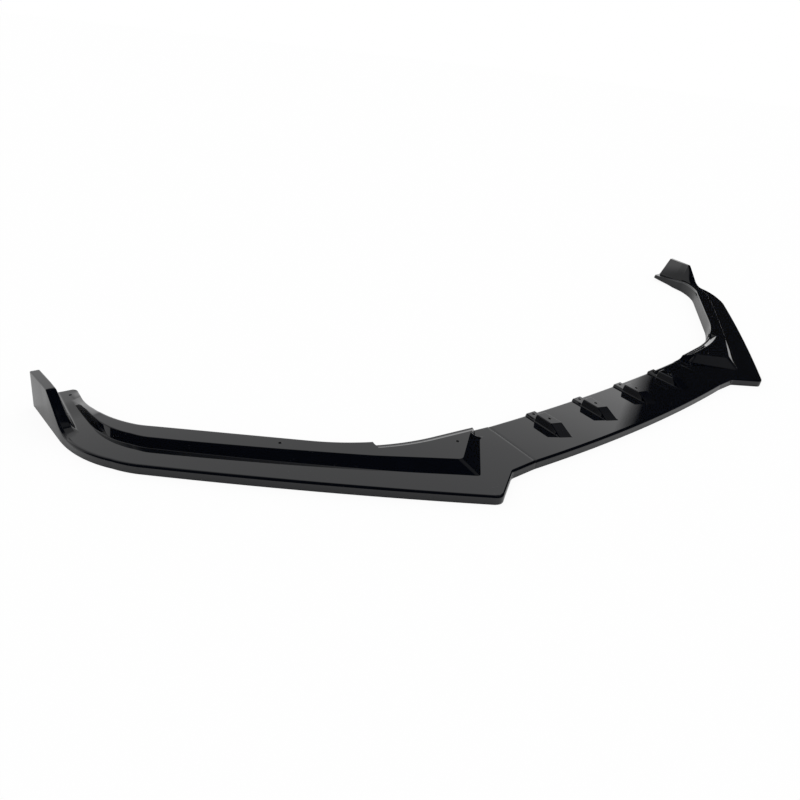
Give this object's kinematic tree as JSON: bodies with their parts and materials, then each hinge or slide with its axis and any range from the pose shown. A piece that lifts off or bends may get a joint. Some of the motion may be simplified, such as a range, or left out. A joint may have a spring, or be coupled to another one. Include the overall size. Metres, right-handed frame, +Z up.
{
  "type": "front splitter lip",
  "caption": "Gloss black front bumper splitter lip in moulded sections, with raised screw pedestals, stepped mounting ledges and upright winglets at the wheel arches.",
  "frame": {"origin": "the bottom centre of the lip's box, in the plane of its lower edges", "axes": "+X across the car towards its left side, +Y from the front edge to the rear, +Z up; the car drives towards -Y"},
  "size_m": [1.7764, 0.549, 0.066],
  "materials": {
    "gloss_black": "piano black, high gloss"
  },
  "bodies": {
    "root": {"centre_section": "gloss_black", "left_side_section": "gloss_black", "right_side_section": "gloss_black"}
  },
  "joints": []
}
